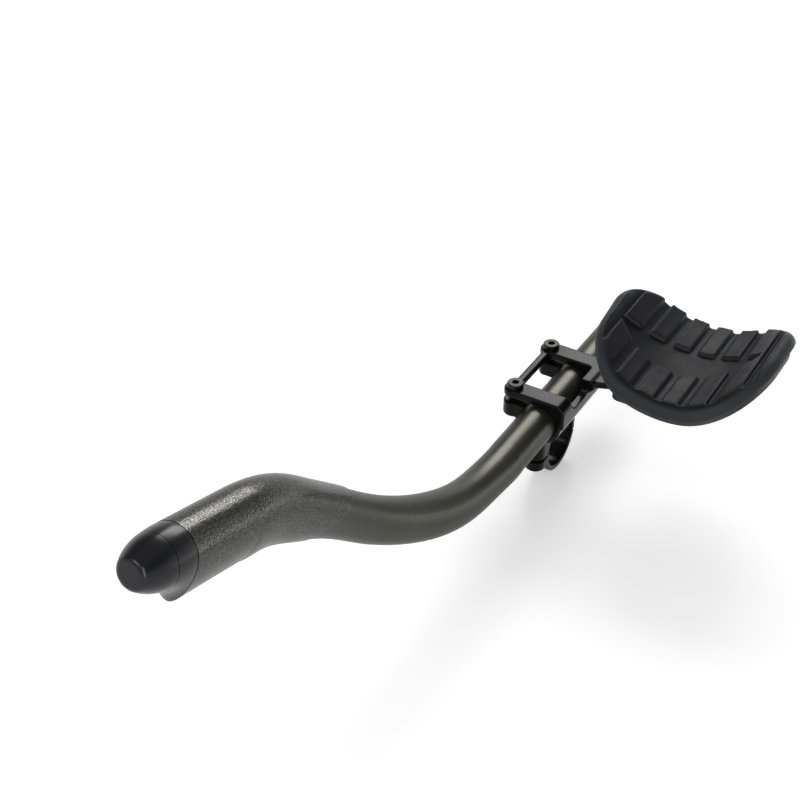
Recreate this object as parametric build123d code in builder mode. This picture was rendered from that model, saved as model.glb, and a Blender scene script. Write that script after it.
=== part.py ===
from build123d import *
import os
from math import cos, radians, sin

os.makedirs("parts", exist_ok=True)

# Frame: origin at the centre of the handlebar bore, +X outward along the handlebar,
# +Y towards the rider, +Z up. All sizes are in millimetres and degrees.

# Handlebar clamp
bar_diameter = 31.8
bar_clearance = 0.05
ring_wall = 3.2
ring_width = 12.0
front_split = 1.0
rear_split = -3.0
split_gap = 1.6
boss_radius = 6.0
boss_reach = 5.6
boss_depth = 6.4
boss_cap = 20.0

# Hinge of the lower strap
knuckle_radius = 3.0
hinge_pin_diameter = 3.0
hinge_clearance = 0.05
tongue_width = 5.0
tongue_clearance = 0.2
hinge_angle = 29.0

# Extension tube
tube_diameter = 22.2
tube_wall = 1.8
web = 3.95
tube_side = 3.0
seat_clearance = 0.05
tube_rear = 83.0
bend_start = 66.5
first_bend_radius = 205.5
climb_angle = 41.0
climb_length = 65.3
second_bend_radius = 94.0
grip_angle = 16.3
grip_length = 43.4
inset = 17.7
inset_start = 115.3
inset_run = 117.3

# Egg-shaped grip section
neck_growth = 1.15
neck_growth_start = 95.0
neck_growth_run = 60.0
keel_growth = 9.5
keel_growth_start = 204.0
keel_growth_run = 81.0
round_handle = 0.5523
keel_flank_handle = 0.4
keel_tip_handle = 0.43
station_count = 15

# Grip skin, collar and plugs
skin_thickness = 0.6
skin_setback = 0.4
skin_gap = 0.04
skin_cut_reach = 225.0
skin_cut_rise = 102.3
skin_cut_angle = 2.0
collar_length = 10.8
collar_lip = 0.5
collar_tuck = 6.0
nose_length = 14.9
nose_tip_radius = 6.6
nose_tip_round = 3.2
nose_bulge = 1.05
seam_break = 0.35
spigot_length = 22.0
spigot_clearance = 0.25
rear_plug_flange = 3.2
rear_plug_round = 2.2

# Extension clamp
clamp_length = 58.0
crossbar_width = 11.6
roof = 4.4
side_wall = 4.6
barrel_wall = 3.0
shoulder_radius = 6.0
bolt_side = 18.2
ear_radius = 6.3
ear_thickness = 4.5
pinch_gap = 4.0
lug_height = 9.0
rail_width = 4.4
rail_inset = 1.5
scallop_floor = 6.5
scallop_front = 17.4
scallop_rear = 3.0
scallop_radius = 5.0
edge_break = 0.6
window_corner = 2.4

# Arm that carries the cup
arm_drop = 0.8
arm_thickness = 4.2
arm_front_root = 3.5
arm_front = 12.0
arm_rear = 35.5
arm_rear_root = 29.0
arm_knee = 37.0
arm_reach = 74.0
arm_tip_radius = 8.0
ridge_width = 3.2
gusset_reach = 4.0
arm_hole_side = 25.3
arm_hole_spacing = 14.0
arm_hole_radius = 2.1

# Arm cup and pad
pad_low_side = 68.0
pad_low_rise = 62.0
trough_inner_radius = 68.0
trough_outer_radius = 53.0
trough_swing = 74.0
skirt_base = 50.0
skirt_height = 50.0
skirt_inner_lap = 3.5
skirt_outer_lap = 4.8
skirt_front = -22.0
skirt_rear_inner = 73.0
skirt_rear_outer = 81.0
skirt_front_inner_corner = 40.0
skirt_front_outer_corner = 46.0
skirt_rear_inner_corner = 34.0
skirt_rear_outer_corner = 36.0
skirt_inner_front_lean = 22.0
skirt_inner_rear_lean = 9.0
skirt_outer_lean = 12.5
skirt_front_lean = 13.2
skirt_rear_lean = 6.0
skirt_corner_loss = 7.0
skirt_round = 5.6
rear_trim = 7.0
rear_trim_ends = 5.5
pad_floor = 6.2
rib_height = 2.4
groove_width = 5.0
groove_pitch = 14.3
groove_middle = 64.0
groove_count = 7
groove_margin = 3.0
recess_inner = 19.5
recess_inner_place = 29.0
recess_outer = 103.5
recess_outer_place = 38.0
recess_side = 60.0
recess_front = 12.8
recess_rear = 38.3
tape_thickness = 1.2
tape_width = 16.0
tape_length = 52.0
tape_spacing = 40.0
cup_wall = 2.6
cup_inset = 4.0
keel_inner = 32.5
keel_overhang = 2.0
keel_front = -5.0
keel_rear = 55.0
keel_corner = 5.0

# Fasteners
bolt_diameter = 5.0
head_diameter = 9.6
head_height = 3.0
socket_across = 4.0
socket_depth = 2.0
thread_clearance = 0.05
pinch_bolt_length = 16.0
strap_bolt_reach = 14.0
cup_bolt_setback = 18.0
cup_bolt_spacing = 14.0
cup_bolt_diameter = 5.0
cup_bolt_grip = 5.0
washer_diameter = 10.0
washer_thickness = 1.0
insert_diameter = 7.5
insert_height = 6.0

# Derived places
bar_radius = bar_diameter / 2 + bar_clearance
ring_radius = bar_radius + ring_wall
tube_radius = tube_diameter / 2
tube_rise = bar_radius + web + tube_radius
frame_top = tube_rise + tube_radius + roof
frame_outer = tube_side + tube_radius + side_wall
slot_top = frame_top - ear_thickness
slot_bottom = slot_top - pinch_gap
lug_bottom = slot_bottom - lug_height
bolt_x = tube_side - bolt_side
bolt_y = (clamp_length - crossbar_width) / 2
boss_y = -bar_radius - boss_reach
hinge_reach = bar_radius + knuckle_radius + hinge_clearance
hinge_y = hinge_reach * cos(radians(hinge_angle))
hinge_z = hinge_reach * sin(radians(hinge_angle))
arm_top = frame_top - arm_drop
arm_bottom = arm_top - arm_thickness
cup_middle = (arm_front + arm_rear) / 2
cup_bolt_side = arm_reach - cup_bolt_setback
keel_outer = arm_reach + keel_overhang
bolt_radius = bolt_diameter / 2
tapped_radius = bolt_radius + thread_clearance
pin_radius = hinge_pin_diameter / 2


def smooth(value, start, run):
    """Cosine blend from 0 at start to 1 at start + run."""
    t = min(max((value - start) / run, 0.0), 1.0)
    return (1 - cos(t * radians(180))) / 2


def side_profile(length):
    """Reach, height and slope of the tube's axis, length measured from the first bend."""
    climb, level = radians(climb_angle), radians(grip_angle)
    first_arc = first_bend_radius * climb
    second_arc = second_bend_radius * (climb - level)
    turned = min(length, first_arc) / first_bend_radius
    reach = bend_start + first_bend_radius * sin(turned)
    rise = tube_rise + first_bend_radius * (1 - cos(turned))
    climbed = min(max(length - first_arc, 0), climb_length)
    reach += climbed * cos(climb)
    rise += climbed * sin(climb)
    bent = min(max(length - first_arc - climb_length, 0), second_arc)
    slope = climb - bent / second_bend_radius
    reach += second_bend_radius * (sin(climb) - sin(slope))
    rise += second_bend_radius * (cos(slope) - cos(climb))
    straight = max(length - first_arc - climb_length - second_arc, 0)
    reach += straight * cos(level)
    rise += straight * sin(level)
    return reach, rise, min(turned, slope)


grip_start = (
    first_bend_radius * radians(climb_angle)
    + climb_length
    + second_bend_radius * radians(climb_angle - grip_angle)
)
bent_length = grip_start + grip_length


def axis_point(length):
    reach, rise, _ = side_profile(length)
    return Vector(tube_side - inset * smooth(reach, inset_start, inset_run), -reach, rise)


def section_plane(length):
    """Plane across the tube's axis, its local X sideways and its local Y up."""
    step = 0.01
    heading = (axis_point(length + step) - axis_point(length - step)).normalized()
    if length < step:
        heading = Vector(0, -1, 0)
    sideways = Vector(0, 0, 1).cross(heading).normalized()
    return Plane(origin=axis_point(length), x_dir=sideways, z_dir=heading)


def egg_sizes(length, grow):
    """Half width and keel depth of the egg-shaped section, grown by grow all round."""
    reach = side_profile(length)[0]
    half = tube_radius + neck_growth * smooth(reach, neck_growth_start, neck_growth_run)
    keel = half + keel_growth * smooth(reach, keel_growth_start, keel_growth_run)
    return half + grow, keel + grow


def egg_edges(half, keel):
    """Egg outline about the section's centre: a half circle above, a keel that narrows as it deepens."""
    share = (keel - half) / keel_growth
    flank = keel * (round_handle + share * (keel_flank_handle - round_handle))
    tip = half * (round_handle + share * (keel_tip_handle - round_handle))
    with BuildLine(Plane.XY) as outline:
        CenterArc((0, 0), half, 0, 180)
        if share > 0:
            Bezier((-half, 0), (-half, -flank), (-tip, -keel), (0, -keel))
            Bezier((0, -keel), (tip, -keel), (half, -flank), (half, 0))
        else:
            CenterArc((0, 0), half, 180, 90)
            CenterArc((0, 0), half, 270, 90)
    return outline.edges()


def bent_tube(grow, setback=0):
    """Bent stretch of the tube, lofted up to the second bend's end, then straight towards the collar."""
    with BuildPart() as stretch:
        for index in range(station_count):
            length = grip_start * index / (station_count - 1)
            with BuildSketch(section_plane(length)):
                make_face(egg_edges(*egg_sizes(length, grow)))
        loft()
        with BuildSketch(section_plane(grip_start)):
            make_face(egg_edges(*egg_sizes(grip_start, grow)))
        extrude(amount=grip_length - setback)
    return stretch.part


end_plane = section_plane(bent_length)
end_half, end_keel = egg_sizes(grip_start, 0)

bent_outside = bent_tube(0)
bent_inside = bent_tube(-tube_wall)

with BuildPart() as extension_tube:
    with BuildSketch(Plane.XZ.offset(-tube_rear)):
        with Locations((tube_side, tube_rise)):
            Circle(tube_radius)
    extrude(amount=tube_rear + bend_start)
    add(bent_outside)
    with BuildSketch(Plane.XZ.offset(-tube_rear)):
        with Locations((tube_side, tube_rise)):
            Circle(tube_radius - tube_wall)
    extrude(amount=tube_rear + bend_start, mode=Mode.SUBTRACT)
    add(bent_inside, mode=Mode.SUBTRACT)
extension_tube.part.label = "extension_tube"
export_step(extension_tube.part, "parts/extension_tube.step")

# Anti-slip skin on the grip, its rear edge cut on the slant
skin_outside = bent_tube(skin_thickness, skin_setback)
skin_inside = bent_tube(skin_gap)
cut_heading = Vector(0, -sin(radians(skin_cut_angle)), cos(radians(skin_cut_angle)))
skin_cut = Plane(origin=(tube_side - inset, -skin_cut_reach, skin_cut_rise), z_dir=cut_heading)

with BuildPart() as grip_skin:
    add(skin_outside)
    add(skin_inside, mode=Mode.SUBTRACT)
    split(bisect_by=skin_cut, keep=Keep.TOP)
grip_skin.part.label = "grip_skin"
export_step(grip_skin.part, "parts/grip_skin.step")

# Collar that closes the egg-shaped end and carries the nose
nose_radius = end_half
spigot_radius = end_half - tube_wall - spigot_clearance
collar_front = end_plane.offset(collar_length)

with BuildPart() as end_collar:
    with BuildSketch(end_plane.offset(seat_clearance)):
        make_face(egg_edges(end_half + collar_lip, end_keel + collar_lip))
    with BuildSketch(end_plane.offset(collar_length / 2)):
        make_face(egg_edges(end_half + collar_lip, end_keel - collar_tuck))
    with BuildSketch(collar_front):
        make_face(egg_edges(nose_radius, nose_radius))
    loft()
    with BuildSketch(end_plane):
        Circle(spigot_radius + spigot_clearance)
    extrude(amount=collar_length, mode=Mode.SUBTRACT)
end_collar.part.label = "end_collar"
export_step(end_collar.part, "parts/end_collar.step")

# Bullet nose with a flat tip, its spigot pushed through the collar into the tube
nose_seat = collar_front.offset(seat_clearance)
nose_side = Plane(origin=nose_seat.origin, x_dir=nose_seat.x_dir, z_dir=-nose_seat.y_dir)

with BuildPart() as nose_plug:
    with BuildSketch(nose_side):
        with BuildLine():
            Line((0, -spigot_length), (spigot_radius, -spigot_length))
            Line((spigot_radius, -spigot_length), (spigot_radius, 0))
            Line((spigot_radius, 0), (nose_radius - seam_break, 0))
            Line((nose_radius - seam_break, 0), (nose_radius, seam_break))
            SagittaArc((nose_radius, seam_break), (nose_tip_radius, nose_length), -nose_bulge)
            Line((nose_tip_radius, nose_length), (0, nose_length))
            Line((0, nose_length), (0, -spigot_length))
        make_face()
    nose_axis = Axis(nose_seat.origin, nose_seat.z_dir)
    revolve(axis=nose_axis)
    fillet(nose_plug.edges().sort_by(nose_axis)[-1], radius=nose_tip_round)
nose_plug.part.label = "nose_plug"
export_step(nose_plug.part, "parts/nose_plug.step")

# Plug in the tube's rear end
rear_plane = Plane(origin=(tube_side, tube_rear + seat_clearance, tube_rise), x_dir=(1, 0, 0), z_dir=(0, 1, 0))
rear_spigot_radius = tube_radius - tube_wall - spigot_clearance

with BuildPart() as rear_plug:
    with BuildSketch(rear_plane):
        Circle(tube_radius)
    extrude(amount=rear_plug_flange)
    fillet(rear_plug.faces().sort_by(Axis.Y)[-1].edges(), radius=rear_plug_round)
    with BuildSketch(rear_plane):
        Circle(rear_spigot_radius)
    extrude(amount=-spigot_length)
rear_plug.part.label = "rear_plug"
export_step(rear_plug.part, "parts/rear_plug.step")

# One-piece clamp: split tube clamp with a window, arm for the cup, upper half of the bar clamp
half_clamp = clamp_length / 2
window_half = half_clamp - crossbar_width
rail_inner = bolt_x + rail_inset
rail_outer = frame_outer - side_wall + seat_clearance

with BuildPart() as clamp_body:
    with BuildSketch(Plane.XZ):
        with BuildLine():
            Polyline(
                (frame_outer, tube_rise),
                (frame_outer, frame_top - shoulder_radius),
            )
            RadiusArc(
                (frame_outer, frame_top - shoulder_radius),
                (frame_outer - shoulder_radius, frame_top),
                -shoulder_radius,
            )
            Polyline(
                (frame_outer - shoulder_radius, frame_top),
                (bolt_x, frame_top),
                (bolt_x, lug_bottom),
                (tube_side, lug_bottom),
                (tube_side, tube_rise),
                (frame_outer, tube_rise),
            )
        make_face()
        with Locations((tube_side, tube_rise)):
            Circle(tube_radius + barrel_wall)
    extrude(amount=half_clamp, both=True)
    # Ears and lugs, rounded about the pinch bolts
    for base, height in ((slot_top, ear_thickness), (lug_bottom, lug_height)):
        with BuildSketch(Plane.XY.offset(base)):
            with Locations((bolt_x, bolt_y), (bolt_x, -bolt_y)):
                Circle(ear_radius)
        extrude(amount=height)
    # Inner rail between the ears
    with BuildSketch(Plane.XY.offset(slot_top)):
        with Locations((rail_inner, 0)):
            Rectangle(rail_width, 2 * bolt_y, align=(Align.MAX, Align.CENTER))
    extrude(amount=ear_thickness)
    # Pinch slot
    with BuildSketch(Plane.XZ):
        with Locations((tube_side, slot_bottom)):
            Rectangle(4 * ear_radius + bolt_side, pinch_gap, align=(Align.MAX, Align.MIN))
    extrude(amount=clamp_length, both=True, mode=Mode.SUBTRACT)
    # Window over the tube, and the gap below the inner rail
    with BuildSketch(Plane.XY.offset(tube_rise)):
        with Locations((rail_inner, 0)):
            RectangleRounded(
                rail_outer - rail_inner, 2 * window_half, window_corner, align=(Align.MIN, Align.CENTER)
            )
    extrude(amount=frame_top, mode=Mode.SUBTRACT)
    with BuildSketch(Plane.XY.offset(slot_top)):
        with Locations((tube_side - tube_radius / 2, 0)):
            Rectangle(bolt_side + ear_radius, 2 * window_half, align=(Align.MAX, Align.CENTER))
    extrude(amount=-(slot_top - boss_cap), mode=Mode.SUBTRACT)
    # Broken edges round the top, all but the one that runs into the shoulder
    top_edges = clamp_body.faces().filter_by(Axis.Z).group_by(Axis.Z)[-1].edges()
    chamfer(top_edges.filter_by(lambda edge: edge.center().X < tube_side + tube_radius / 2), length=edge_break)
    # Scallop in the outer wall
    with BuildSketch(Plane.YZ.offset(tube_side + tube_radius / 2)):
        with Locations((-scallop_front, tube_rise + scallop_floor)):
            RectangleRounded(
                scallop_front + scallop_rear, 2 * tube_radius, scallop_radius, align=(Align.MIN, Align.MIN)
            )
    extrude(amount=frame_outer, mode=Mode.SUBTRACT)
    # Arm plate with its ridge and gusset
    with BuildSketch(Plane.XY.offset(arm_bottom)):
        with BuildLine():
            Polyline(
                (frame_outer - side_wall, arm_front_root),
                (frame_outer, arm_front_root),
                (tube_side + arm_knee, arm_front),
                (tube_side + arm_reach, arm_front),
                (tube_side + arm_reach, arm_rear),
                (tube_side + arm_knee, arm_rear),
                (frame_outer, arm_rear_root),
                (frame_outer - side_wall, arm_rear_root),
                (frame_outer - side_wall, arm_front_root),
            )
        make_face()
        fillet(vertices().group_by(Axis.X)[-1], radius=arm_tip_radius)
    extrude(amount=arm_thickness)
    with BuildSketch(Plane.XZ.offset(-arm_rear_root)):
        with BuildLine():
            Polyline(
                (frame_outer - side_wall, tube_rise),
                (frame_outer - side_wall, frame_top),
                (frame_outer, frame_top),
                (frame_outer + ridge_width, arm_top),
                (frame_outer + gusset_reach, arm_bottom),
                (frame_outer, arm_bottom - gusset_reach),
                (frame_outer, tube_rise),
                (frame_outer - side_wall, tube_rise),
            )
        make_face()
    extrude(amount=arm_rear_root - scallop_rear)
    # Neck down to the bar, upper half of the ring and its bolt boss
    with BuildSketch(Plane.YZ):
        Rectangle(2 * ring_radius, boss_cap, align=(Align.CENTER, Align.MIN))
        Circle(ring_radius)
    extrude(amount=ring_width / 2, both=True)
    with BuildSketch(Plane.XY):
        with Locations((0, boss_y)):
            Circle(boss_radius)
        with Locations((0, boss_y)):
            Rectangle(2 * boss_radius, boss_reach + ring_wall, align=(Align.CENTER, Align.MIN))
    extrude(amount=boss_cap)
    # Tube bore and bar bore
    with BuildSketch(Plane.XZ):
        with Locations((tube_side, tube_rise)):
            Circle(tube_radius + seat_clearance)
    extrude(amount=clamp_length, both=True, mode=Mode.SUBTRACT)
    with BuildSketch(Plane.YZ):
        Circle(bar_radius)
    extrude(amount=ring_width, both=True, mode=Mode.SUBTRACT)
    # Everything below the split belongs to the strap
    with BuildSketch(Plane.YZ):
        with Locations((0, -2 * ring_radius)):
            Rectangle(4 * ring_radius, 2 * ring_radius + front_split, align=(Align.MAX, Align.MIN))
            Rectangle(4 * ring_radius, 2 * ring_radius + rear_split, align=(Align.MIN, Align.MIN))
    extrude(amount=ring_width, both=True, mode=Mode.SUBTRACT)
    # Slot for the strap's tongue and the hinge pin's hole
    with BuildSketch(Plane.YZ):
        with Locations((hinge_y, hinge_z)):
            Circle(knuckle_radius + tongue_clearance)
            Rectangle(
                2 * knuckle_radius + 2 * tongue_clearance,
                2 * ring_radius,
                align=(Align.CENTER, Align.MAX),
            )
            Rectangle(ring_radius, 2 * knuckle_radius + 2 * tongue_clearance, align=(Align.MIN, Align.CENTER))
    extrude(amount=tongue_width / 2 + tongue_clearance, both=True, mode=Mode.SUBTRACT)
    with BuildSketch(Plane.YZ):
        with Locations((hinge_y, hinge_z)):
            Circle(pin_radius + hinge_clearance)
    extrude(amount=ring_width, both=True, mode=Mode.SUBTRACT)
    # Bolt holes: pinch bolts, strap bolt, cup bolts and the spare pair on the arm
    with BuildSketch(Plane.XY.offset(lug_bottom)):
        with Locations((bolt_x, bolt_y), (bolt_x, -bolt_y)):
            Circle(tapped_radius)
    extrude(amount=frame_top, mode=Mode.SUBTRACT)
    with BuildSketch(Plane.XY):
        with Locations((0, boss_y)):
            Circle(tapped_radius)
    extrude(amount=strap_bolt_reach, mode=Mode.SUBTRACT)
    with BuildSketch(Plane.XY.offset(arm_bottom)):
        with Locations((tube_side + cup_bolt_side, cup_middle)):
            with GridLocations(cup_bolt_spacing, 0, 2, 1):
                Circle(cup_bolt_diameter / 2 + thread_clearance)
        with Locations((tube_side + arm_hole_side, (arm_front + arm_rear) / 2)):
            with GridLocations(0, arm_hole_spacing, 1, 2):
                Circle(arm_hole_radius)
    extrude(amount=arm_thickness, mode=Mode.SUBTRACT)
clamp_body.part.label = "clamp_body"
export_step(clamp_body.part, "parts/clamp_body.step")

# Lower strap of the bar clamp, hinged at the rear and bolted at the front
strap_front = front_split - split_gap
strap_bottom = strap_front - boss_depth

with BuildPart() as bar_strap:
    with BuildSketch(Plane.YZ):
        Circle(ring_radius)
        with Locations((0, strap_front)):
            Rectangle(4 * ring_radius, 2 * ring_radius, align=(Align.MAX, Align.MIN), mode=Mode.SUBTRACT)
        with Locations((0, rear_split - tongue_clearance)):
            Rectangle(4 * ring_radius, 2 * ring_radius, align=(Align.MIN, Align.MIN), mode=Mode.SUBTRACT)
    extrude(amount=ring_width / 2, both=True)
    with BuildSketch(Plane.XY.offset(strap_front)):
        with Locations((0, boss_y)):
            Circle(boss_radius)
            Rectangle(2 * boss_radius, boss_reach + ring_wall, align=(Align.CENTER, Align.MIN))
    extrude(amount=-boss_depth)
    # Tongue up to the hinge pin
    with BuildSketch(Plane.YZ):
        with Locations((hinge_y, hinge_z)):
            Circle(knuckle_radius)
            Rectangle(2 * knuckle_radius, hinge_z - rear_split + ring_wall, align=(Align.CENTER, Align.MAX))
    extrude(amount=tongue_width / 2, both=True)
    with BuildSketch(Plane.YZ):
        Circle(bar_radius)
        with Locations((hinge_y, hinge_z)):
            Circle(pin_radius + hinge_clearance)
    extrude(amount=ring_width, both=True, mode=Mode.SUBTRACT)
    with BuildSketch(Plane.XY.offset(strap_bottom)):
        with Locations((0, boss_y)):
            Circle(tapped_radius)
    extrude(amount=2 * boss_depth, mode=Mode.SUBTRACT)
    with BuildSketch(Plane.XY.offset(strap_bottom)):
        with Locations((0, boss_y)):
            Circle(head_diameter / 2 + thread_clearance)
    extrude(amount=head_height, mode=Mode.SUBTRACT)
bar_strap.part.label = "bar_strap"
export_step(bar_strap.part, "parts/bar_strap.step")

with BuildPart() as hinge_pin:
    with BuildSketch(Plane.YZ):
        with Locations((hinge_y, hinge_z)):
            Circle(pin_radius)
    extrude(amount=ring_width / 2, both=True)
hinge_pin.part.label = "hinge_pin"
export_step(hinge_pin.part, "parts/hinge_pin.step")


def socket_bolt(shank_diameter, length):
    """Low-head socket bolt along -Z, the underside of its head at the origin."""
    with BuildPart() as bolt:
        Cylinder(head_diameter / 2, head_height, align=(Align.CENTER, Align.CENTER, Align.MIN))
        chamfer(bolt.faces().sort_by(Axis.Z)[-1].edges(), length=edge_break)
        Cylinder(shank_diameter / 2, length, align=(Align.CENTER, Align.CENTER, Align.MAX))
        with BuildSketch(Plane.XY.offset(head_height)):
            RegularPolygon(socket_across / 2, 6, major_radius=False)
        extrude(amount=-socket_depth, mode=Mode.SUBTRACT)
    return bolt.part


pinch_bolt = socket_bolt(bolt_diameter, pinch_bolt_length)
strap_screw = socket_bolt(bolt_diameter, strap_bolt_reach + split_gap - front_split + boss_depth - head_height)
cup_bolt = socket_bolt(cup_bolt_diameter, arm_thickness + washer_thickness + cup_bolt_grip)

with BuildPart() as pinch_bolts:
    with Locations((bolt_x, bolt_y, frame_top), (bolt_x, -bolt_y, frame_top)):
        add(pinch_bolt)
pinch_bolts.part.label = "pinch_bolts"
export_step(pinch_bolts.part, "parts/pinch_bolts.step")

with BuildPart() as strap_bolt:
    with Locations(Location((0, boss_y, strap_bottom + head_height), (180, 0, 0))):
        add(strap_screw)
strap_bolt.part.label = "strap_bolt"
export_step(strap_bolt.part, "parts/strap_bolt.step")

with BuildPart() as cup_washers:
    with BuildSketch(Plane.XY.offset(arm_bottom)):
        with Locations((tube_side + cup_bolt_side, cup_middle)):
            with GridLocations(cup_bolt_spacing, 0, 2, 1):
                Circle(washer_diameter / 2)
                Circle(cup_bolt_diameter / 2 + thread_clearance, mode=Mode.SUBTRACT)
    extrude(amount=-washer_thickness)
cup_washers.part.label = "cup_washers"
export_step(cup_washers.part, "parts/cup_washers.step")

with BuildPart() as cup_bolts:
    with Locations(Location((tube_side + cup_bolt_side, cup_middle, arm_bottom - washer_thickness), (180, 0, 0))):
        with GridLocations(cup_bolt_spacing, 0, 2, 1):
            add(cup_bolt)
cup_bolts.part.label = "cup_bolts"
export_step(cup_bolts.part, "parts/cup_bolts.step")

# Trough surfaces shared by the cup, the tapes and the pad
low_x = tube_side + pad_low_side
skirt_inner = pad_low_side - trough_inner_radius + skirt_inner_lap
skirt_outer = pad_low_side + trough_outer_radius + skirt_outer_lap


def trough_edges(low, high):
    """Closed outline between two trough surfaces, low and high being depths below the rib tops."""
    inner_centre = (low_x, pad_low_rise + rib_height + trough_inner_radius)
    outer_centre = (low_x, pad_low_rise + rib_height + trough_outer_radius)
    with BuildLine(Plane.XY) as outline:
        top_in = CenterArc(inner_centre, trough_inner_radius + high, -90, -trough_swing)
        top_out = CenterArc(outer_centre, trough_outer_radius + high, -90, trough_swing)
        low_in = CenterArc(inner_centre, trough_inner_radius + low, -90, -trough_swing)
        low_out = CenterArc(outer_centre, trough_outer_radius + low, -90, trough_swing)
        Line(top_in @ 1, low_in @ 1)
        Line(top_out @ 1, low_out @ 1)
    return outline.edges()


pad_depth = pad_floor + rib_height
cup_top = pad_depth + tape_thickness
cup_bottom = cup_top + cup_wall
tall = 3 * trough_inner_radius


def skirt_plan(margin, rise):
    """Pad's outline in plan at a share of the skirt's height, drawn in by margin."""
    inner = tube_side + skirt_inner + margin
    inner_front = inner + rise * skirt_inner_front_lean
    inner_rear = inner + rise * skirt_inner_rear_lean
    outer = tube_side + skirt_outer - rise * skirt_outer_lean - margin
    front = skirt_front + rise * skirt_front_lean + margin
    rear_inner = skirt_rear_inner - rise * skirt_rear_lean - margin
    rear_outer = skirt_rear_outer - rise * skirt_rear_lean - margin
    loss = margin + rise * skirt_corner_loss
    corners = (
        (inner_front, front, skirt_front_inner_corner - loss),
        (outer, front, skirt_front_outer_corner - loss),
        (outer, rear_outer, skirt_rear_outer_corner - loss),
        (inner_rear, rear_inner, skirt_rear_inner_corner - loss),
    )
    with BuildSketch(Plane.XY) as plan:
        with BuildLine():
            Polyline(*((x, y) for x, y, _ in corners), close=True)
        make_face()
        for x, y, radius in corners:
            fillet(plan.vertices().sort_by_distance((x, y, 0))[0], radius=radius)
    return plan.sketch


def skirt_block(margin):
    """Block with the pad's outline, each side leaning in towards the top by its own amount."""
    with BuildPart() as block:
        with BuildSketch(Plane.XY.offset(skirt_base)):
            add(skirt_plan(margin, 0))
        with BuildSketch(Plane.XY.offset(skirt_base + skirt_height)):
            add(skirt_plan(margin, 1))
        loft(ruled=True)
    return block.part


with BuildPart() as groove_cutter:
    with BuildSketch(Plane.XY):
        with Locations((tube_side + groove_middle, 0)):
            with GridLocations(groove_pitch, 0, groove_count, 1):
                Rectangle(groove_width, tall)
        with BuildLine():
            lens_inner = (tube_side + recess_inner, recess_inner_place)
            lens_outer = (tube_side + recess_outer, recess_outer_place)
            ThreePointArc(lens_inner, (tube_side + recess_side, recess_front), lens_outer)
            ThreePointArc(lens_outer, (tube_side + recess_side, recess_rear), lens_inner)
        make_face()
    extrude(amount=tall)
    with BuildSketch(Plane.XZ):
        make_face(trough_edges(rib_height, -trough_outer_radius / 2))
    extrude(amount=tall, both=True, mode=Mode.INTERSECT)

with BuildPart() as groove_limit:
    add(skirt_block(groove_margin))
    with BuildSketch(Plane.XY):
        with Locations((low_x, skirt_rear_inner / 2)):
            Rectangle(skirt_outer - skirt_inner, tall, align=(Align.CENTER, Align.MIN))
    extrude(amount=tall)

with BuildPart() as arm_pad:
    with BuildSketch(Plane.XZ):
        make_face(trough_edges(pad_depth, 0))
    extrude(amount=tall, both=True)
    add(skirt_block(0), mode=Mode.INTERSECT)
    trough_radii = (round(trough_inner_radius, 3), round(trough_outer_radius, 3))
    top_faces = arm_pad.faces().filter_by(lambda face: round(face.radius or 0, 3) in trough_radii)
    rim = top_faces.edges().filter_by(
        lambda edge: edge.geom_type != GeomType.LINE or abs(edge.center().X - low_x) > edge_break
    )
    fillet(rim, radius=skirt_round)
    # The rear is cut off square in a shallow bow, so that ribs and grooves run out
    with BuildSketch(Plane.XY):
        with BuildLine():
            rear_start = (tube_side + skirt_inner, skirt_rear_inner - rear_trim_ends)
            rear_low = (low_x, (skirt_rear_inner + skirt_rear_outer) / 2 - rear_trim)
            rear_end = (tube_side + skirt_outer, skirt_rear_outer - rear_trim_ends)
            ThreePointArc(rear_start, rear_low, rear_end)
            Polyline(rear_end, (tube_side + skirt_outer, tall), (tube_side + skirt_inner, tall), rear_start)
        make_face()
    extrude(amount=tall, mode=Mode.SUBTRACT)
    add(groove_cutter.part & groove_limit.part, mode=Mode.SUBTRACT)
arm_pad.part.label = "arm_pad"
export_step(arm_pad.part, "parts/arm_pad.step")

with BuildPart() as pad_tapes:
    with BuildSketch(Plane.XZ):
        make_face(trough_edges(cup_top, pad_depth))
    extrude(amount=tall, both=True)
    with BuildSketch(Plane.XY):
        with Locations((low_x, (keel_front + keel_rear) / 2)):
            with GridLocations(0, tape_spacing, 1, 2):
                Rectangle(tape_length, tape_width)
    extrude(amount=tall, mode=Mode.INTERSECT)
pad_tapes.part.label = "pad_tapes"
export_step(pad_tapes.part, "parts/pad_tapes.step")

# Cup: a thin shell under the pad on a solid keel that sits on the arm
with BuildPart() as arm_cup:
    with BuildSketch(Plane.XZ):
        make_face(trough_edges(cup_bottom, cup_top))
    extrude(amount=tall, both=True)
    add(skirt_block(cup_inset), mode=Mode.INTERSECT)
    with BuildSketch(Plane.XY.offset(arm_top)) as keel_plan:
        with Locations((tube_side + keel_inner, keel_front)):
            Rectangle(keel_outer - keel_inner, keel_rear - keel_front, align=(Align.MIN, Align.MIN))
        fillet(keel_plan.vertices(), radius=keel_corner)
    extrude(amount=trough_outer_radius / 2)
    with BuildSketch(Plane.XZ):
        make_face(trough_edges(cup_top, -trough_outer_radius / 2))
    extrude(amount=tall, both=True, mode=Mode.SUBTRACT)
    with BuildSketch(Plane.XY.offset(arm_top)):
        with Locations((tube_side + cup_bolt_side, cup_middle)):
            with GridLocations(cup_bolt_spacing, 0, 2, 1):
                Circle(insert_diameter / 2)
    extrude(amount=insert_height, mode=Mode.SUBTRACT)
arm_cup.part.label = "arm_cup"
export_step(arm_cup.part, "parts/arm_cup.step")

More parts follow.
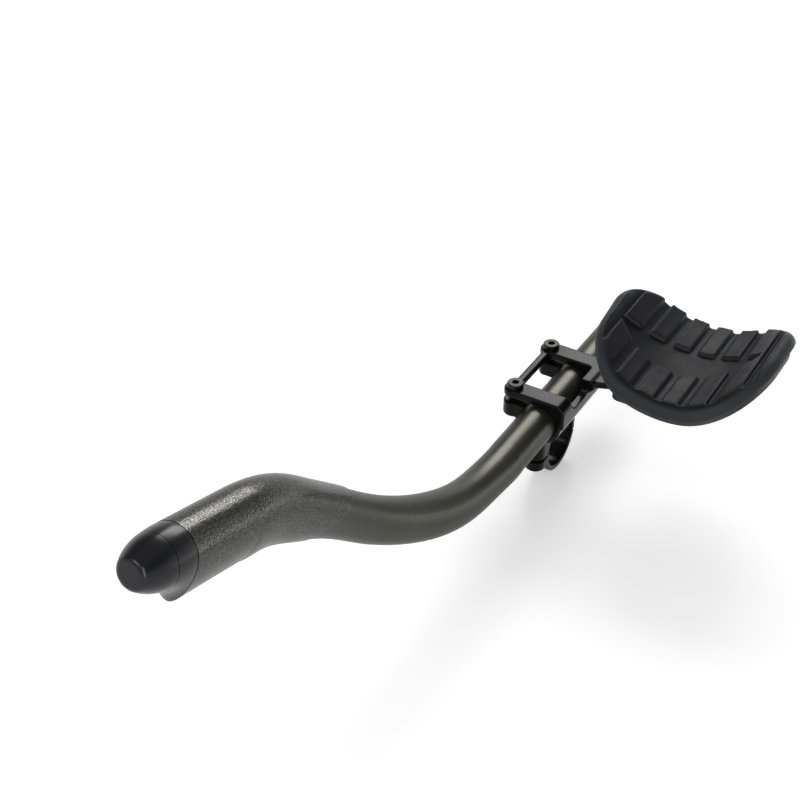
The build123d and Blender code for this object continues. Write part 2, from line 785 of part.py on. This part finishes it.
with BuildPart() as cup_inserts:
    with BuildSketch(Plane.XY.offset(arm_top)):
        with Locations((tube_side + cup_bolt_side, cup_middle)):
            with GridLocations(cup_bolt_spacing, 0, 2, 1):
                Circle(insert_diameter / 2)
                Circle(cup_bolt_diameter / 2 + thread_clearance, mode=Mode.SUBTRACT)
    extrude(amount=insert_height)
cup_inserts.part.label = "cup_inserts"
export_step(cup_inserts.part, "parts/cup_inserts.step")
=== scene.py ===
import bpy
import math
from mathutils import Matrix, Vector


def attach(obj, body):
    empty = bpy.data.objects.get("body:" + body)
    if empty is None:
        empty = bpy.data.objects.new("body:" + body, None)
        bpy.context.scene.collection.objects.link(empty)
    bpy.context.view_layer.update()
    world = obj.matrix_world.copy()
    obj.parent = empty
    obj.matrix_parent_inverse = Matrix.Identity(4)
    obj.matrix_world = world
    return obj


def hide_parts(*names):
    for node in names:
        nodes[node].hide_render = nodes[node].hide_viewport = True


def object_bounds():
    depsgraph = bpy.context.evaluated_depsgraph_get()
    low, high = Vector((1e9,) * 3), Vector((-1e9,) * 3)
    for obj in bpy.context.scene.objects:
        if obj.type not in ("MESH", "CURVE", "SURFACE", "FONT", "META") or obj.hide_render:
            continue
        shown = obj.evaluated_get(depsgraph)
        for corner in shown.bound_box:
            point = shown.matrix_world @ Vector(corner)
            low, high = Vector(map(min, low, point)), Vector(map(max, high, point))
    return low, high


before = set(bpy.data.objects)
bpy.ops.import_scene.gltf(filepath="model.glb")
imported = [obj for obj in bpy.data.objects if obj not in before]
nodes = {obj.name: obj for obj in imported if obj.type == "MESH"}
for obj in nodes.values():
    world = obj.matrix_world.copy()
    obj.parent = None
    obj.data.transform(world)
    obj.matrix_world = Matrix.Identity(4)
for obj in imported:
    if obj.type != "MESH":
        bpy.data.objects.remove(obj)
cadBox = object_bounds()
scene = bpy.context.scene
scene.view_settings.view_transform = "Standard"
print("frame loaded:", len(nodes), "solids")


# camera at the photograph's viewing angle

cameraSet = {
    "place": (0.2824, -0.6558, 0.5513),  # metres, from the centre of the bar bore
    "azimuth": 30.62,
    "elevation": 36.52,
    "roll": 0.467,
    "lens": 67.43,
    "sensor": 36.0,  # millimetres, as the lens
    "clip": (0.02, 40.0),
}


def setCamera():
    data = bpy.data.cameras.new("photoCamera")
    data.sensor_fit = "HORIZONTAL"
    data.sensor_width = cameraSet["sensor"]
    data.lens = cameraSet["lens"]
    data.clip_start, data.clip_end = cameraSet["clip"]
    turn, tip, roll = (math.radians(cameraSet[k]) for k in ("azimuth", "elevation", "roll"))
    level = Matrix.Rotation(turn, 4, "Z") @ Matrix.Rotation(math.pi / 2 - tip, 4, "X")
    camera = bpy.data.objects.new("photoCamera", data)
    camera.matrix_world = (
        Matrix.Translation(cameraSet["place"]) @ level @ Matrix.Rotation(roll, 4, "Z")
    )
    scene.collection.objects.link(camera)
    scene.camera = camera
    print("camera set")


# node helpers

def putNode(tree, kind, at, **values):
    node = tree.nodes.new("ShaderNode" + kind)
    node.location = at
    for key, value in values.items():
        setattr(node, key, value)
    return node


def feed(socket, value):
    # another node's socket is linked, anything else is set
    if isinstance(value, bpy.types.NodeSocket):
        socket.id_data.links.new(value, socket)
    else:
        socket.default_value = value


def setSockets(node, **values):
    for key, value in values.items():
        feed(node.inputs[key.replace("_", " ")], value)
    return node


def putMath(tree, kind, operation, at, *values, **options):
    node = putNode(tree, kind, at, operation=operation, **options)
    for socket, value in zip(node.inputs, values):
        feed(socket, value)
    return node.outputs


def remap(tree, value, start, end, at, **options):
    # the range start is carried over to the range end
    node = putNode(tree, "MapRange", at, **options)
    setSockets(node, From_Min=start[0], From_Max=start[1], To_Min=end[0], To_Max=end[1])
    return setSockets(node, Value=value).outputs["Result"]


def mixTone(tree, low, high, factor, at):
    node = putNode(tree, "Mix", at, data_type="RGBA")
    feed(node.inputs[0], factor)
    for socket, tone in zip(node.inputs[6:8], (low, high)):  # the node's two colours
        feed(socket, (*tone, 1) if isinstance(tone, tuple) else tone)
    return node.outputs[2]


def newGroup(name, takes, gives):
    # every socket of these groups is a plain value
    tree = bpy.data.node_groups.new(name, "ShaderNodeTree")
    kind = "NodeSocketFloat"
    for label, value in takes.items():
        socket = tree.interface.new_socket(name=label, in_out="INPUT", socket_type=kind)
        socket.default_value = value
    for label in gives:
        tree.interface.new_socket(name=label, in_out="OUTPUT", socket_type=kind)
    start, end = (tree.nodes.new("NodeGroup" + side) for side in ("Input", "Output"))
    start.location = (-900, 0)
    end.location = (700, 0)
    return tree, start.outputs, end


def placeGroup(tree, group, at, **values):
    return setSockets(putNode(tree, "Group", at, node_tree=group), **values).outputs


# shared effects

glintSet = {
    "samples": 6,
    "bend": (0.995, 0.86),  # cosine between the face and its rounded self: none, full
    "spots": 420.0,  # per metre
    "detail": 3.0,
    "spread": (0.3, 0.7),
    "least": 0.35,  # what is left of the line between the spots
}


def makeEdgeGlint():
    # painted highlight along the line where two faces meet, broken by spots like wear on a handled
    # edge
    tree, takes, gives = newGroup("edgeGlint", {"Radius": 0.0005, "Strength": 1.0}, ("Mask",))
    rounded = putNode(tree, "Bevel", (-600, 100), samples=glintSet["samples"])
    setSockets(rounded, Radius=takes["Radius"])
    plain = putNode(tree, "NewGeometry", (-600, -150))
    normals = rounded.outputs["Normal"], plain.outputs["Normal"]
    meet = putMath(tree, "VectorMath", "DOT_PRODUCT", (-350, 0), *normals)
    line = remap(tree, meet["Value"], glintSet["bend"], (0, 1), (-150, 0))
    place = putNode(tree, "TexCoord", (-600, -400)).outputs
    spots = putNode(tree, "TexNoise", (-350, -300))
    setSockets(spots, Vector=place["Object"], Scale=glintSet["spots"], Detail=glintSet["detail"])
    kept = glintSet["least"], 1
    wear = remap(tree, spots.outputs["Fac"], glintSet["spread"], kept, (-150, -300))
    broken = putMath(tree, "Math", "MULTIPLY", (100, 0), line, wear)["Value"]
    mask = putMath(tree, "Math", "MULTIPLY", (300, 0), broken, takes["Strength"], use_clamp=True)
    setSockets(gives, Mask=mask["Value"])
    return tree


grainSet = {
    "detail": 3.0,
    "roughness": 0.6,
    "speck": (0.18, 0.52),  # heights that are hollow and tip
    "driftDetail": 4.0,
    "drift": (0.3, 0.7),
}


def makeFineGrain():
    # grains of a given size over a slow drift of tone, both per metre
    tree, takes, gives = newGroup(
        "fineGrain",
        {"Grains": 1800.0, "Drift": 40.0},
        ("Height", "Speck", "Tone"),
    )
    place = putNode(tree, "TexCoord", (-900, 250)).outputs["Object"]
    grain = putNode(tree, "TexNoise", (-500, 200))
    setSockets(grain, Detail=grainSet["detail"], Roughness=grainSet["roughness"])
    cells = putNode(tree, "TexVoronoi", (-500, -100), feature="F1")
    slow = setSockets(putNode(tree, "TexNoise", (-500, -400)), Detail=grainSet["driftDetail"])
    for texture, scale in ((grain, "Grains"), (cells, "Grains"), (slow, "Drift")):
        setSockets(texture, Vector=place, Scale=takes[scale])
    reach = cells.outputs["Distance"]
    dome = putMath(tree, "Math", "SUBTRACT", (-330, -100), 1.0, reach, use_clamp=True)["Value"]
    height = putMath(tree, "Math", "MULTIPLY", (-200, 100), grain.outputs["Fac"], dome)["Value"]
    speck = remap(tree, height, grainSet["speck"], (0, 1), (50, 100))
    tone = remap(tree, slow.outputs["Fac"], grainSet["drift"], (0, 1), (50, -350))
    setSockets(gives, Height=height, Speck=speck, Tone=tone)
    return tree


lineSet = {
    "across": 55.0,  # slow change round the tube, per metre
    "detail": 4.0,
    "roughness": 0.65,
    "spread": (0.28, 0.72),
}


def makeDrawLines():
    # fine lines left round the tube by polishing, square to the climb
    tree, takes, gives = newGroup("drawLines", {"Tilt": 0.35, "Pitch": 900.0}, ("Lines",))
    place = putNode(tree, "TexCoord", (-900, 250)).outputs["Object"]
    split = setSockets(putNode(tree, "SeparateXYZ", (-700, 250)), Vector=place).outputs
    lean = putMath(tree, "Math", "MULTIPLY", (-500, 150), split["Z"], takes["Tilt"])["Value"]
    along = putMath(tree, "Math", "SUBTRACT", (-330, 250), split["Y"], lean)["Value"]
    fine = putMath(tree, "Math", "MULTIPLY", (-160, 250), along, takes["Pitch"])["Value"]
    alone = setSockets(putNode(tree, "CombineXYZ", (0, 250)), Y=fine).outputs["Vector"]
    slow = putNode(tree, "VectorMath", (-500, -50), operation="SCALE")
    setSockets(slow, Vector=place, Scale=lineSet["across"])
    both = putMath(tree, "VectorMath", "ADD", (150, 100), slow.outputs["Vector"], alone)["Vector"]
    lines = setSockets(putNode(tree, "TexNoise", (330, 100)), Vector=both, Scale=1.0)
    setSockets(lines, Detail=lineSet["detail"], Roughness=lineSet["roughness"])
    setSockets(gives, Lines=remap(tree, lines.outputs["Fac"], lineSet["spread"], (0, 1), (520, 100)))
    return tree


edgeGlint = makeEdgeGlint()
fineGrain = makeFineGrain()
drawLines = makeDrawLines()
print("shared effects built")


# finishes

def newFinish(name, **sockets):
    material = bpy.data.materials.new(name)
    material.use_nodes = True
    shader = material.node_tree.nodes["Principled BSDF"]
    shader.location = (300, 0)
    return material, material.node_tree, setSockets(shader, **sockets)


def putBump(tree, height, look):
    strength, depth = look["bump"]
    node = putNode(tree, "Bump", (50, -350))
    return setSockets(node, Height=height, Strength=strength, Distance=depth).outputs["Normal"]


def grainFinish(name, look, paintedShading=None):
    # two tones by grain or drift, painted light and shade that follow the piece's relief, and edges
    # paled by painted highlight and wear
    material, tree, shader = newFinish(name, **look["shader"])
    counts = {"Grains": look["grains"], "Drift": look["drift"]}
    grain = placeGroup(tree, fineGrain, (-650, 0), **counts)
    tone = mixTone(tree, look["low"], look["high"], grain[look["toneBy"]], (-400, 200))
    if paintedShading:
        tone = paintedShading(tree, tone)
    # painted highlight: edges paled where two faces meet, broken by spots like wear
    if "edge" in look:
        radius, strength = look["glint"]
        glint = placeGroup(tree, edgeGlint, (-650, -300), Radius=radius, Strength=strength)
        tone = mixTone(tree, tone, look["edge"], glint["Mask"], (0, 200))
    if "rough" in look:
        rough = remap(tree, grain[look["roughBy"]], (0, 1), look["rough"], (-250, 0))
        setSockets(shader, Roughness=rough)
    setSockets(shader, Base_Color=tone, Normal=putBump(tree, grain["Height"], look))
    return material


tubeLook = {
    "low": (0.05, 0.0497, 0.042),
    "high": (0.081, 0.0803, 0.0688),
    "rough": (0.31, 0.4),
    "tilt": 0.35,  # lean of the polishing lines
    "pitch": 900.0,
    "grains": 2600.0,  # per metre, here and below
    "drift": 28.0,
    "driftShare": 0.35,
    "bump": (0.05, 0.0002),  # strength, and depth in metres
    # the tint is for what is mirrored at a shallow angle
    "shader": {"Metallic": 0.9, "Specular_Tint": (0.7, 0.7, 0.7, 1)},
}


def tubeFinish():
    look = tubeLook
    material, tree, shader = newFinish("satinGraphiteTube", **look["shader"])
    course = {"Tilt": look["tilt"], "Pitch": look["pitch"]}
    lines = placeGroup(tree, drawLines, (-650, 150), **course)["Lines"]
    counts = {"Grains": look["grains"], "Drift": look["drift"]}
    grain = placeGroup(tree, fineGrain, (-650, -150), **counts)
    tone = mixTone(tree, look["low"], look["high"], lines, (-250, 200))
    drift = remap(tree, grain["Tone"], (0, 1), (0, look["driftShare"]), (-250, 0))
    tone = mixTone(tree, tone, look["high"], drift, (0, 200))
    rough = remap(tree, lines, (0, 1), look["rough"], (-250, -120))
    bumps = putBump(tree, grain["Height"], look)
    setSockets(shader, Base_Color=tone, Roughness=rough, Normal=bumps)
    return material


gripLook = {
    "low": (0.046, 0.046, 0.041),  # hollows
    "high": (0.154, 0.154, 0.143),  # grit
    "toneBy": "Speck",
    "rough": (0.27, 0.2),
    "roughBy": "Speck",
    "grains": 1300.0,
    "drift": 60.0,
    "bump": (0.24, 0.0004),
    "shader": {"Metallic": 0.85, "Specular_Tint": (0.7, 0.7, 0.7, 1)},
}

noseLook = {
    "low": (0.0045, 0.0048, 0.0064),
    "high": (0.0078, 0.0082, 0.0104),
    "toneBy": "Tone",
    # painted highlight on edges, partly wear
    "edge": (0.09, 0.09, 0.095),
    "glint": (0.0003, 0.2),  # radius in metres, and strength
    "rough": (0.22, 0.3),
    "roughBy": "Tone",
    "grains": 1900.0,
    "drift": 55.0,
    "bump": (0.06, 0.0002),
    "shader": {"Specular_IOR_Level": 0.28},
}

clampLook = {
    "low": (0.004, 0.004, 0.0038),
    "high": (0.0072, 0.0072, 0.0068),
    "toneBy": "Tone",
    # painted highlight on edges, partly wear
    "edge": (0.06, 0.06, 0.056),
    "glint": (0.0006, 0.9),
    "rough": (0.19, 0.29),
    "roughBy": "Tone",
    "grains": 3200.0,
    "drift": 45.0,
    "bump": (0.08, 0.0002),
    "shader": {"Metallic": 0.4, "Specular_IOR_Level": 0.13},
}

steelLook = {
    "low": (0.019, 0.019, 0.0165),
    "high": (0.036, 0.036, 0.0315),
    "toneBy": "Tone",
    # painted highlight on edges, partly wear
    "edge": (0.12, 0.1185, 0.107),
    "glint": (0.0003, 0.8),
    "rough": (0.28, 0.42),
    "roughBy": "Tone",
    "grains": 2600.0,
    "drift": 240.0,
    "bump": (0.06, 0.0002),
    "shader": {"Metallic": 1.0},
}

insertLook = {
    "low": (0.32, 0.21, 0.08),
    "high": (0.5, 0.35, 0.15),
    "toneBy": "Tone",
    "rough": (0.25, 0.4),
    "roughBy": "Tone",
    "grains": 1800.0,
    "drift": 300.0,
    "bump": (0.1, 0.0002),
    "shader": {"Metallic": 1.0},
}

cupLook = {
    "low": (0.012, 0.012, 0.0125),
    "high": (0.018, 0.018, 0.019),
    "toneBy": "Speck",
    # painted highlight on edges, partly wear
    "edge": (0.06, 0.06, 0.062),
    "glint": (0.0005, 0.4),
    "rough": (0.42, 0.58),
    "roughBy": "Tone",
    "grains": 1300.0,
    "drift": 50.0,
    "bump": (0.25, 0.0003),
    "shader": {},
}

tapeLook = {
    "low": (0.004, 0.004, 0.004),
    "high": (0.03, 0.03, 0.032),
    "toneBy": "Speck",
    "grains": 1100.0,
    "drift": 90.0,
    "bump": (0.9, 0.0008),
    "shader": {"Sheen_Weight": 0.3, "Roughness": 0.85},
}

troughSet = {
    "lowX": 0.071,  # lowest line of the pad's trough
    "lowZ": 0.0644,
    "innerRadius": 0.068,  # on the two sides of that line
    "outerRadius": 0.053,
}

padLook = {
    "low": (0.0034, 0.0037, 0.0052),
    "high": (0.0088, 0.0094, 0.0123),
    "toneBy": "Speck",
    "side": (0.029, 0.03, 0.037),  # flanks painted paler than the tops: painted light for the light the rims catch
    "spoke": 0.06,  # length from the trough's axis to its lowest line
    "flank": (0.86, 0.45),  # cosine between face and spoke: top, flank
    "grooveShade": (0.0022, 0.0023, 0.003),  # painted shade in the bottoms of the grooves
    "grooveShadeReach": 0.0045,
    "grooveShadeOpen": (0.86, 0.5),  # share of open sky: surface, bottom
    "grooveShadeSamples": 8,
    # painted highlight on edges, partly wear
    "edge": (0.075, 0.077, 0.09),
    "glint": (0.0012, 0.55),
    "rough": (0.42, 0.54),
    "roughBy": "Tone",
    "grains": 1500.0,
    "drift": 70.0,
    "bump": (0.4, 0.0004),
    "shader": {"Specular_IOR_Level": 0.125, "Sheen_Weight": 0.03, "Sheen_Roughness": 0.4},
}


def padPaintedLightAndShade(tree, tone):
    # painted light and shade: flanks, faces that don't look along the spoke from the trough's axis,
    # are painted paler, and groove bottoms darker
    look = padLook
    place = putNode(tree, "TexCoord", (-1250, 450)).outputs
    toAxis = (-troughSet["lowX"], 0, -troughSet["lowZ"] - look["spoke"])
    terms = place["Object"], (1, 0, 1), toAxis
    spoke = putMath(tree, "VectorMath", "MULTIPLY_ADD", (-1080, 450), *terms)["Vector"]
    even = putMath(tree, "VectorMath", "NORMALIZE", (-910, 450), spoke)["Vector"]
    sides = even, place["Normal"]
    facing = putMath(tree, "VectorMath", "DOT_PRODUCT", (-740, 450), *sides)["Value"]
    size = putMath(tree, "Math", "ABSOLUTE", (-600, 450), facing)["Value"]
    flank = remap(tree, size, look["flank"], (0, 1), (-450, 450))
    # painted light: flanks paler than the tops
    tone = mixTone(tree, tone, look["side"], flank, (-200, 250))
    # painted shade: groove bottoms darkened where little open sky reaches them
    shut = putNode(tree, "AmbientOcclusion", (-650, -550), samples=look["grooveShadeSamples"])
    shut.only_local = True
    setSockets(shut, Distance=look["grooveShadeReach"])
    grooveShade = remap(tree, shut.outputs["AO"], look["grooveShadeOpen"], (0, 1), (-450, -550))
    return mixTone(tree, tone, look["grooveShade"], grooveShade, (-100, 250))


finishes = {
    "tube": tubeFinish(),
    "grip": grainFinish("grittyGripSkin", gripLook),
    "nose": grainFinish("satinBlackNose", noseLook),
    "clamp": grainFinish("blackAnodisedClamp", clampLook),
    "steel": grainFinish("dullSteelBolts", steelLook),
    "insert": grainFinish("brassInserts", insertLook),
    "cup": grainFinish("mouldedCup", cupLook),
    "tape": grainFinish("loopTape", tapeLook),
    "pad": grainFinish("closedCellFoam", padLook, padPaintedLightAndShade),
}
print("finishes built:", len(finishes))

wornBy = {
    "tube": ("extension_tube",),
    "grip": ("grip_skin",),
    "nose": ("end_collar", "nose_plug", "rear_plug"),
    "clamp": ("clamp_body", "bar_strap"),
    "steel": ("hinge_pin", "strap_bolt", "pinch_bolts", "cup_bolts", "cup_washers"),
    "insert": ("cup_inserts",),
    "cup": ("arm_cup",),
    "tape": ("pad_tapes",),
    "pad": ("arm_pad",),
}


def dressSolids():
    for finish, names in wornBy.items():
        for name in names:
            solid = nodes[name]
            solid.data.materials.clear()
            solid.data.materials.append(finishes[finish])
    print("solids dressed:", sum(len(names) for names in wornBy.values()))


# pieces of the scene

def soften(piece, values):
    # an even skin of small faces, then its edges smoothed
    even = piece.modifiers.new("evenSkin", "REMESH")
    even.mode = "VOXEL"
    even.voxel_size = values["voxel"]
    even.use_smooth_shade = True
    soft = piece.modifiers.new("softEdges", "SMOOTH")
    soft.factor = values["softness"]
    soft.iterations = values["rounds"]


def settle(piece):
    # the modifiers' result becomes the mesh, and none is left on the piece
    graph = bpy.context.evaluated_depsgraph_get()
    done = bpy.data.meshes.new_from_object(piece.evaluated_get(graph))
    piece.modifiers.clear()
    piece.data = done


def carry(piece, finish, node):
    piece.data.materials.clear()
    piece.data.materials.append(finishes[finish])
    for face in piece.data.polygons:
        face.use_smooth = True
    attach(piece, "root")
    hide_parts(node)


roundSet = {
    "names": ("clamp_body", "bar_strap"),
    "voxel": 0.00045,
    "softness": 0.5,
    "rounds": 8,
}


def roundEdges():
    # outer edges broken and inner corners filled, as on a forged and blasted clamp
    for name in roundSet["names"]:
        soften(nodes[name], roundSet)
    print("edges rounded:", len(roundSet["names"]))


padSet = {
    "voxel": 0.0007,  # follows ribs and grooves
    "softness": 0.5,
    "rounds": 4,
    "fill": 0.9,
}


def makePad():
    pad = bpy.data.objects.new("forearmPad", nodes["arm_pad"].data.copy())
    scene.collection.objects.link(pad)
    soften(pad, padSet)
    settle(pad)
    carry(pad, "pad", "arm_pad")
    print("pad built:", len(pad.data.polygons), "faces")


tapeSet = {
    "depths": (0.0087, 0.0097),  # upper and lower face, below the rib tops
    "middles": (0.005, 0.045),
    "halfLength": 0.0258,
    "halfWidth": 0.0079,
    "corner": 0.0025,
    "grid": (60, 20),  # faces along and across
}


def troughHeight(x, depth):
    reach = x - troughSet["lowX"]
    radius = troughSet["innerRadius" if reach < 0 else "outerRadius"]
    return troughSet["lowZ"] + radius - math.sqrt((radius + depth) ** 2 - reach**2)


def tapePoints(middle):
    columns, rows = tapeSet["grid"]
    half, corner = tapeSet["halfLength"], tapeSet["corner"]
    points = []
    for depth in tapeSet["depths"]:
        for i in range(columns + 1):
            along = (2 * i / columns - 1) * half
            past = max(0.0, abs(along) - half + corner)  # how far into the rounded corner
            cut = corner - math.sqrt(max(corner**2 - past**2, 0.0))
            x = troughSet["lowX"] + along
            for j in range(rows + 1):
                side = (2 * j / rows - 1) * (tapeSet["halfWidth"] - cut)
                points.append((x, middle + side, troughHeight(x, depth)))
    return points


def tapeFaces(start):
    columns, rows = tapeSet["grid"]

    def at(i, j, layer):
        return start + (layer * (columns + 1) + i) * (rows + 1) + j

    faces = []
    for i in range(columns):
        for j in range(rows):
            faces.append((at(i, j, 0), at(i + 1, j, 0), at(i + 1, j + 1, 0), at(i, j + 1, 0)))
            faces.append((at(i, j, 1), at(i, j + 1, 1), at(i + 1, j + 1, 1), at(i + 1, j, 1)))
    rim = [(i, 0) for i in range(columns)] + [(columns, j) for j in range(rows)]
    rim += [(columns - i, rows) for i in range(columns)] + [(0, rows - j) for j in range(rows)]
    for here, there in zip(rim, rim[1:] + rim[:1]):
        faces.append((at(*here, 0), at(*here, 1), at(*there, 1), at(*there, 0)))
    return faces


def makeTapes():
    points, faces = [], []
    for middle in tapeSet["middles"]:
        faces += tapeFaces(len(points))
        points += tapePoints(middle)
    mesh = bpy.data.meshes.new("padTapes")
    mesh.from_pydata(points, [], faces)
    tapes = bpy.data.objects.new("padTapes", mesh)
    scene.collection.objects.link(tapes)
    carry(tapes, "tape", "pad_tapes")
    print("tapes built:", len(faces), "faces")


# floor and light

stageSet = {
    "floor": (0.86, 0.86, 0.86, 1),
    "floorRough": 0.9,
    "gap": 0.0005,  # between the lowest solid and the floor
    "lift": (0.37, 0.82),  # glow for eye, gloss and glass, near and far, so that it reads as white
    "fade": (0.5, 1.7),  # metres from the middle, from near to far
    "size": 60.0,
    "white": (1, 1, 1, 1),
    "world": 0.27,
    "seenWorld": 1.0,  # white low down, for eye, gloss and glass
    "dusk": (0.1, 0.38),  # sines of the heights at which the studio grows dim
}


def seenRays(tree, at):
    # one for what the eye, gloss or glass sees, nought for light thrown on other things
    path = putNode(tree, "LightPath", at).outputs
    total = path["Is Camera Ray"]
    for step, kind in enumerate(("Is Glossy Ray", "Is Transmission Ray"), 1):
        spot = at[0] + 180 * step, at[1]
        total = putMath(tree, "Math", "ADD", spot, total, path[kind], use_clamp=True)["Value"]
    return total


def floorFinish():
    colours = {"Base_Color": stageSet["floor"], "Emission_Color": stageSet["white"]}
    material, tree, shader = newFinish("paleFloor", Roughness=stageSet["floorRough"], **colours)
    seen = seenRays(tree, (-600, 0))
    place = putNode(tree, "TexCoord", (-800, -250)).outputs["Object"]
    reach = putMath(tree, "VectorMath", "LENGTH", (-600, -250), place)["Value"]
    smooth = {"interpolation_type": "SMOOTHSTEP"}
    lift = remap(tree, reach, stageSet["fade"], stageSet["lift"], (-400, -250), **smooth)
    glow = putMath(tree, "Math", "MULTIPLY", (-50, 0), seen, lift)["Value"]
    setSockets(shader, Emission_Strength=glow)
    under = putNode(tree, "NewGeometry", (300, 300)).outputs["Backfacing"]
    clear = putNode(tree, "BsdfTransparent", (300, -400)).outputs["BSDF"]
    oneWay = putNode(tree, "MixShader", (600, 0))  # seen through from below
    for socket, value in zip(oneWay.inputs, (under, shader.outputs["BSDF"], clear)):
        feed(socket, value)
    ends = tree.nodes["Material Output"]
    ends.location = (800, 0)
    setSockets(ends, Surface=oneWay.outputs["Shader"])
    return material


def makeFloor():
    half = stageSet["size"] / 2
    low = cadBox[0].z - stageSet["gap"]
    corners = [(x * half, y * half, low) for x, y in ((-1, -1), (1, -1), (1, 1), (-1, 1))]
    mesh = bpy.data.meshes.new("floor")
    mesh.from_pydata(corners, [], [(0, 1, 2, 3)])
    mesh.materials.append(floorFinish())
    floor = bpy.data.objects.new("floor", mesh)
    scene.collection.objects.link(floor)
    print("floor laid at", round(low, 4))


def makeWorld():
    world = bpy.data.worlds.new("studio")
    scene.world = world
    world.use_nodes = True
    tree = world.node_tree
    seen = seenRays(tree, (-800, 0))
    place = putNode(tree, "TexCoord", (-1000, -250)).outputs["Generated"]
    split = setSockets(putNode(tree, "SeparateXYZ", (-800, -250)), Vector=place).outputs
    levels = stageSet["seenWorld"], stageSet["world"]
    smooth = {"interpolation_type": "SMOOTHSTEP"}
    shown = remap(tree, split["Z"], stageSet["dusk"], levels, (-600, -250), **smooth)
    strength = remap(tree, seen, (0, 1), (stageSet["world"], shown), (-250, 0))
    setSockets(tree.nodes["Background"], Color=stageSet["white"], Strength=strength)
    print("studio lit")


lamps = {
    "keyBack": {
        "place": (-0.3, 1.0, 0.9),
        "aim": (0.0, -0.1, 0.06),
        "size": (0.7, 0.45),
        "power": 9.5,
    },
    "overhead": {
        "place": (0.1, -0.05, 1.35),
        "aim": (0.05, -0.05, 0.0),
        "size": (1.6, 1.6),
        "power": 1.8,
    },
    "frontFill": {
        "place": (-0.25, -1.26, 0.92),
        "aim": (0.0, -0.2, 0.1),
        "size": (0.6, 0.34),
        "power": 4.5,
    },
    "sideStrip": {
        "place": (0.59, -1.14, 0.55),
        "aim": (0.0, -0.3, 0.14),
        "size": (0.42, 0.75),
        "power": 5.5,
    },
    "lowStrip": {
        "place": (0.52, 0.3, 0.012),
        "aim": (0.0, -0.25, 0.12),
        "size": (0.9, 0.05),
        "power": 0.4,
    },
}


def makeLamps():
    for name, lamp in lamps.items():
        data = bpy.data.lights.new(name, "AREA")
        data.shape = "RECTANGLE"
        data.size, data.size_y = lamp["size"]
        data.energy = lamp["power"]
        light = bpy.data.objects.new(name, data)
        light.location = lamp["place"]
        aim = Vector(lamp["aim"]) - Vector(lamp["place"])
        light.rotation_euler = aim.to_track_quat("-Z", "Y").to_euler()
        scene.collection.objects.link(light)
    print("lamps lit:", len(lamps))


setCamera()
dressSolids()
roundEdges()
makePad()
makeTapes()
makeFloor()
makeWorld()
makeLamps()
